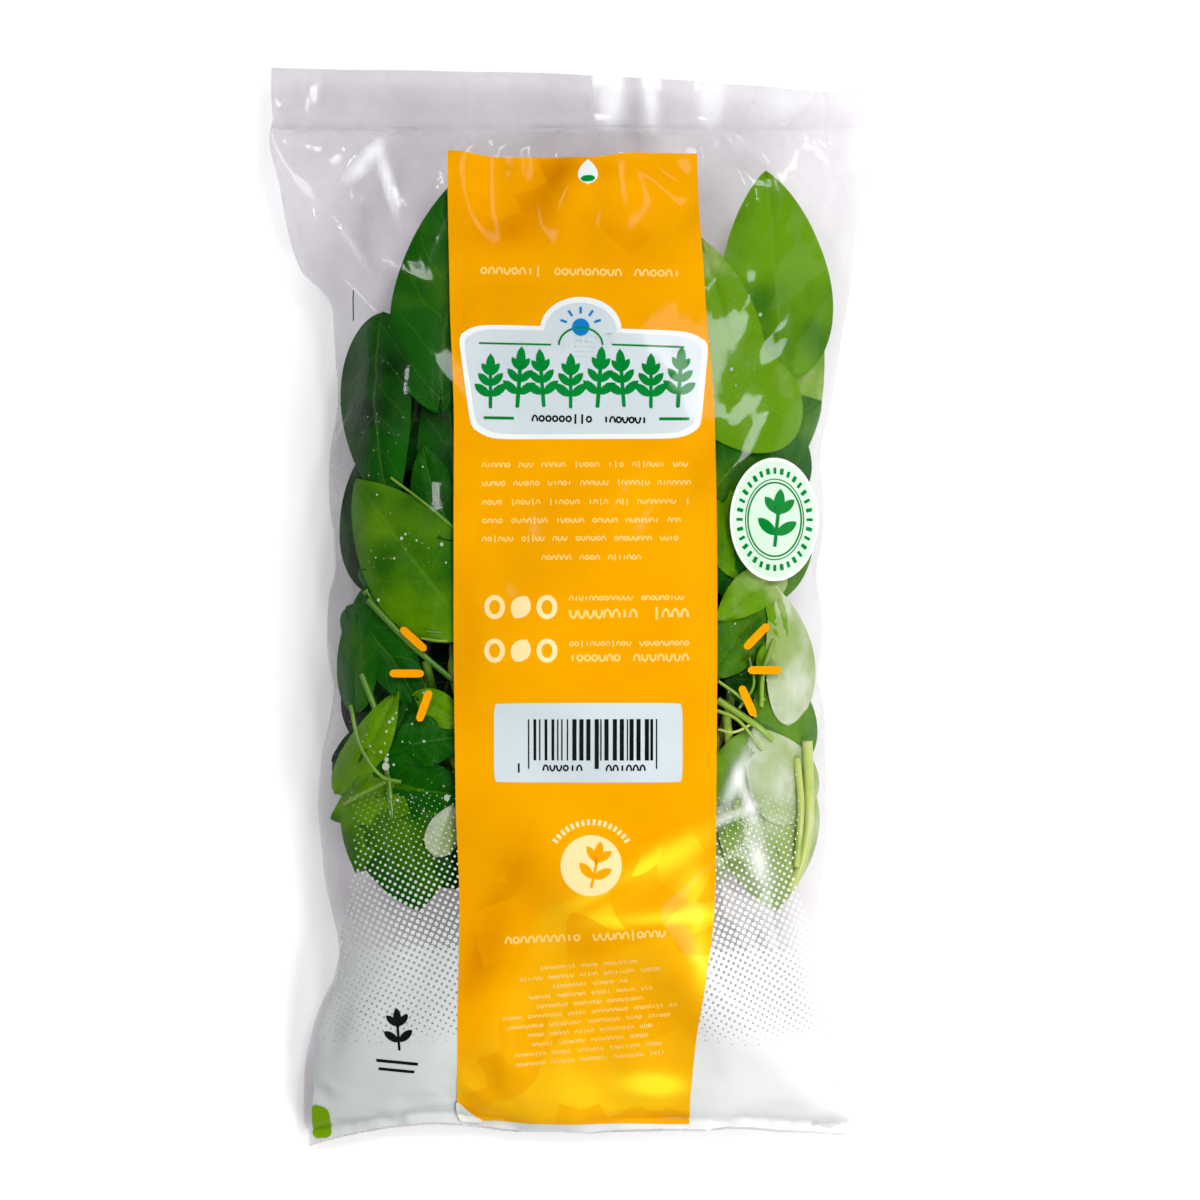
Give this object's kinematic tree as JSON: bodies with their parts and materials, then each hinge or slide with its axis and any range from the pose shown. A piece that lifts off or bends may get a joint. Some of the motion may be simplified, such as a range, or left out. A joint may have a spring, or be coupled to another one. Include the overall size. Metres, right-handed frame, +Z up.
{
  "type": "bag of fresh basil",
  "caption": "Sealed clear film bag of fresh basil, lying on its back: a full pillow body, a flat header above the top seal and a narrow bottom weld.",
  "frame": {"origin": "middle of the bag's footprint, on the table it lies on", "axes": "+Z up out of the printed side, +Y from the bottom weld to the header, +X to the right of someone who looks at the printed side"},
  "size_m": [0.142, 0.26, 0.039],
  "materials": {
    "film": "thin clear glossy film over green leaves",
    "leaf": "fresh waxy leaf, satin",
    "stem": "fresh juicy stem, satin"
  },
  "bodies": {
    "root": {"bag": "film"}
  },
  "joints": []
}
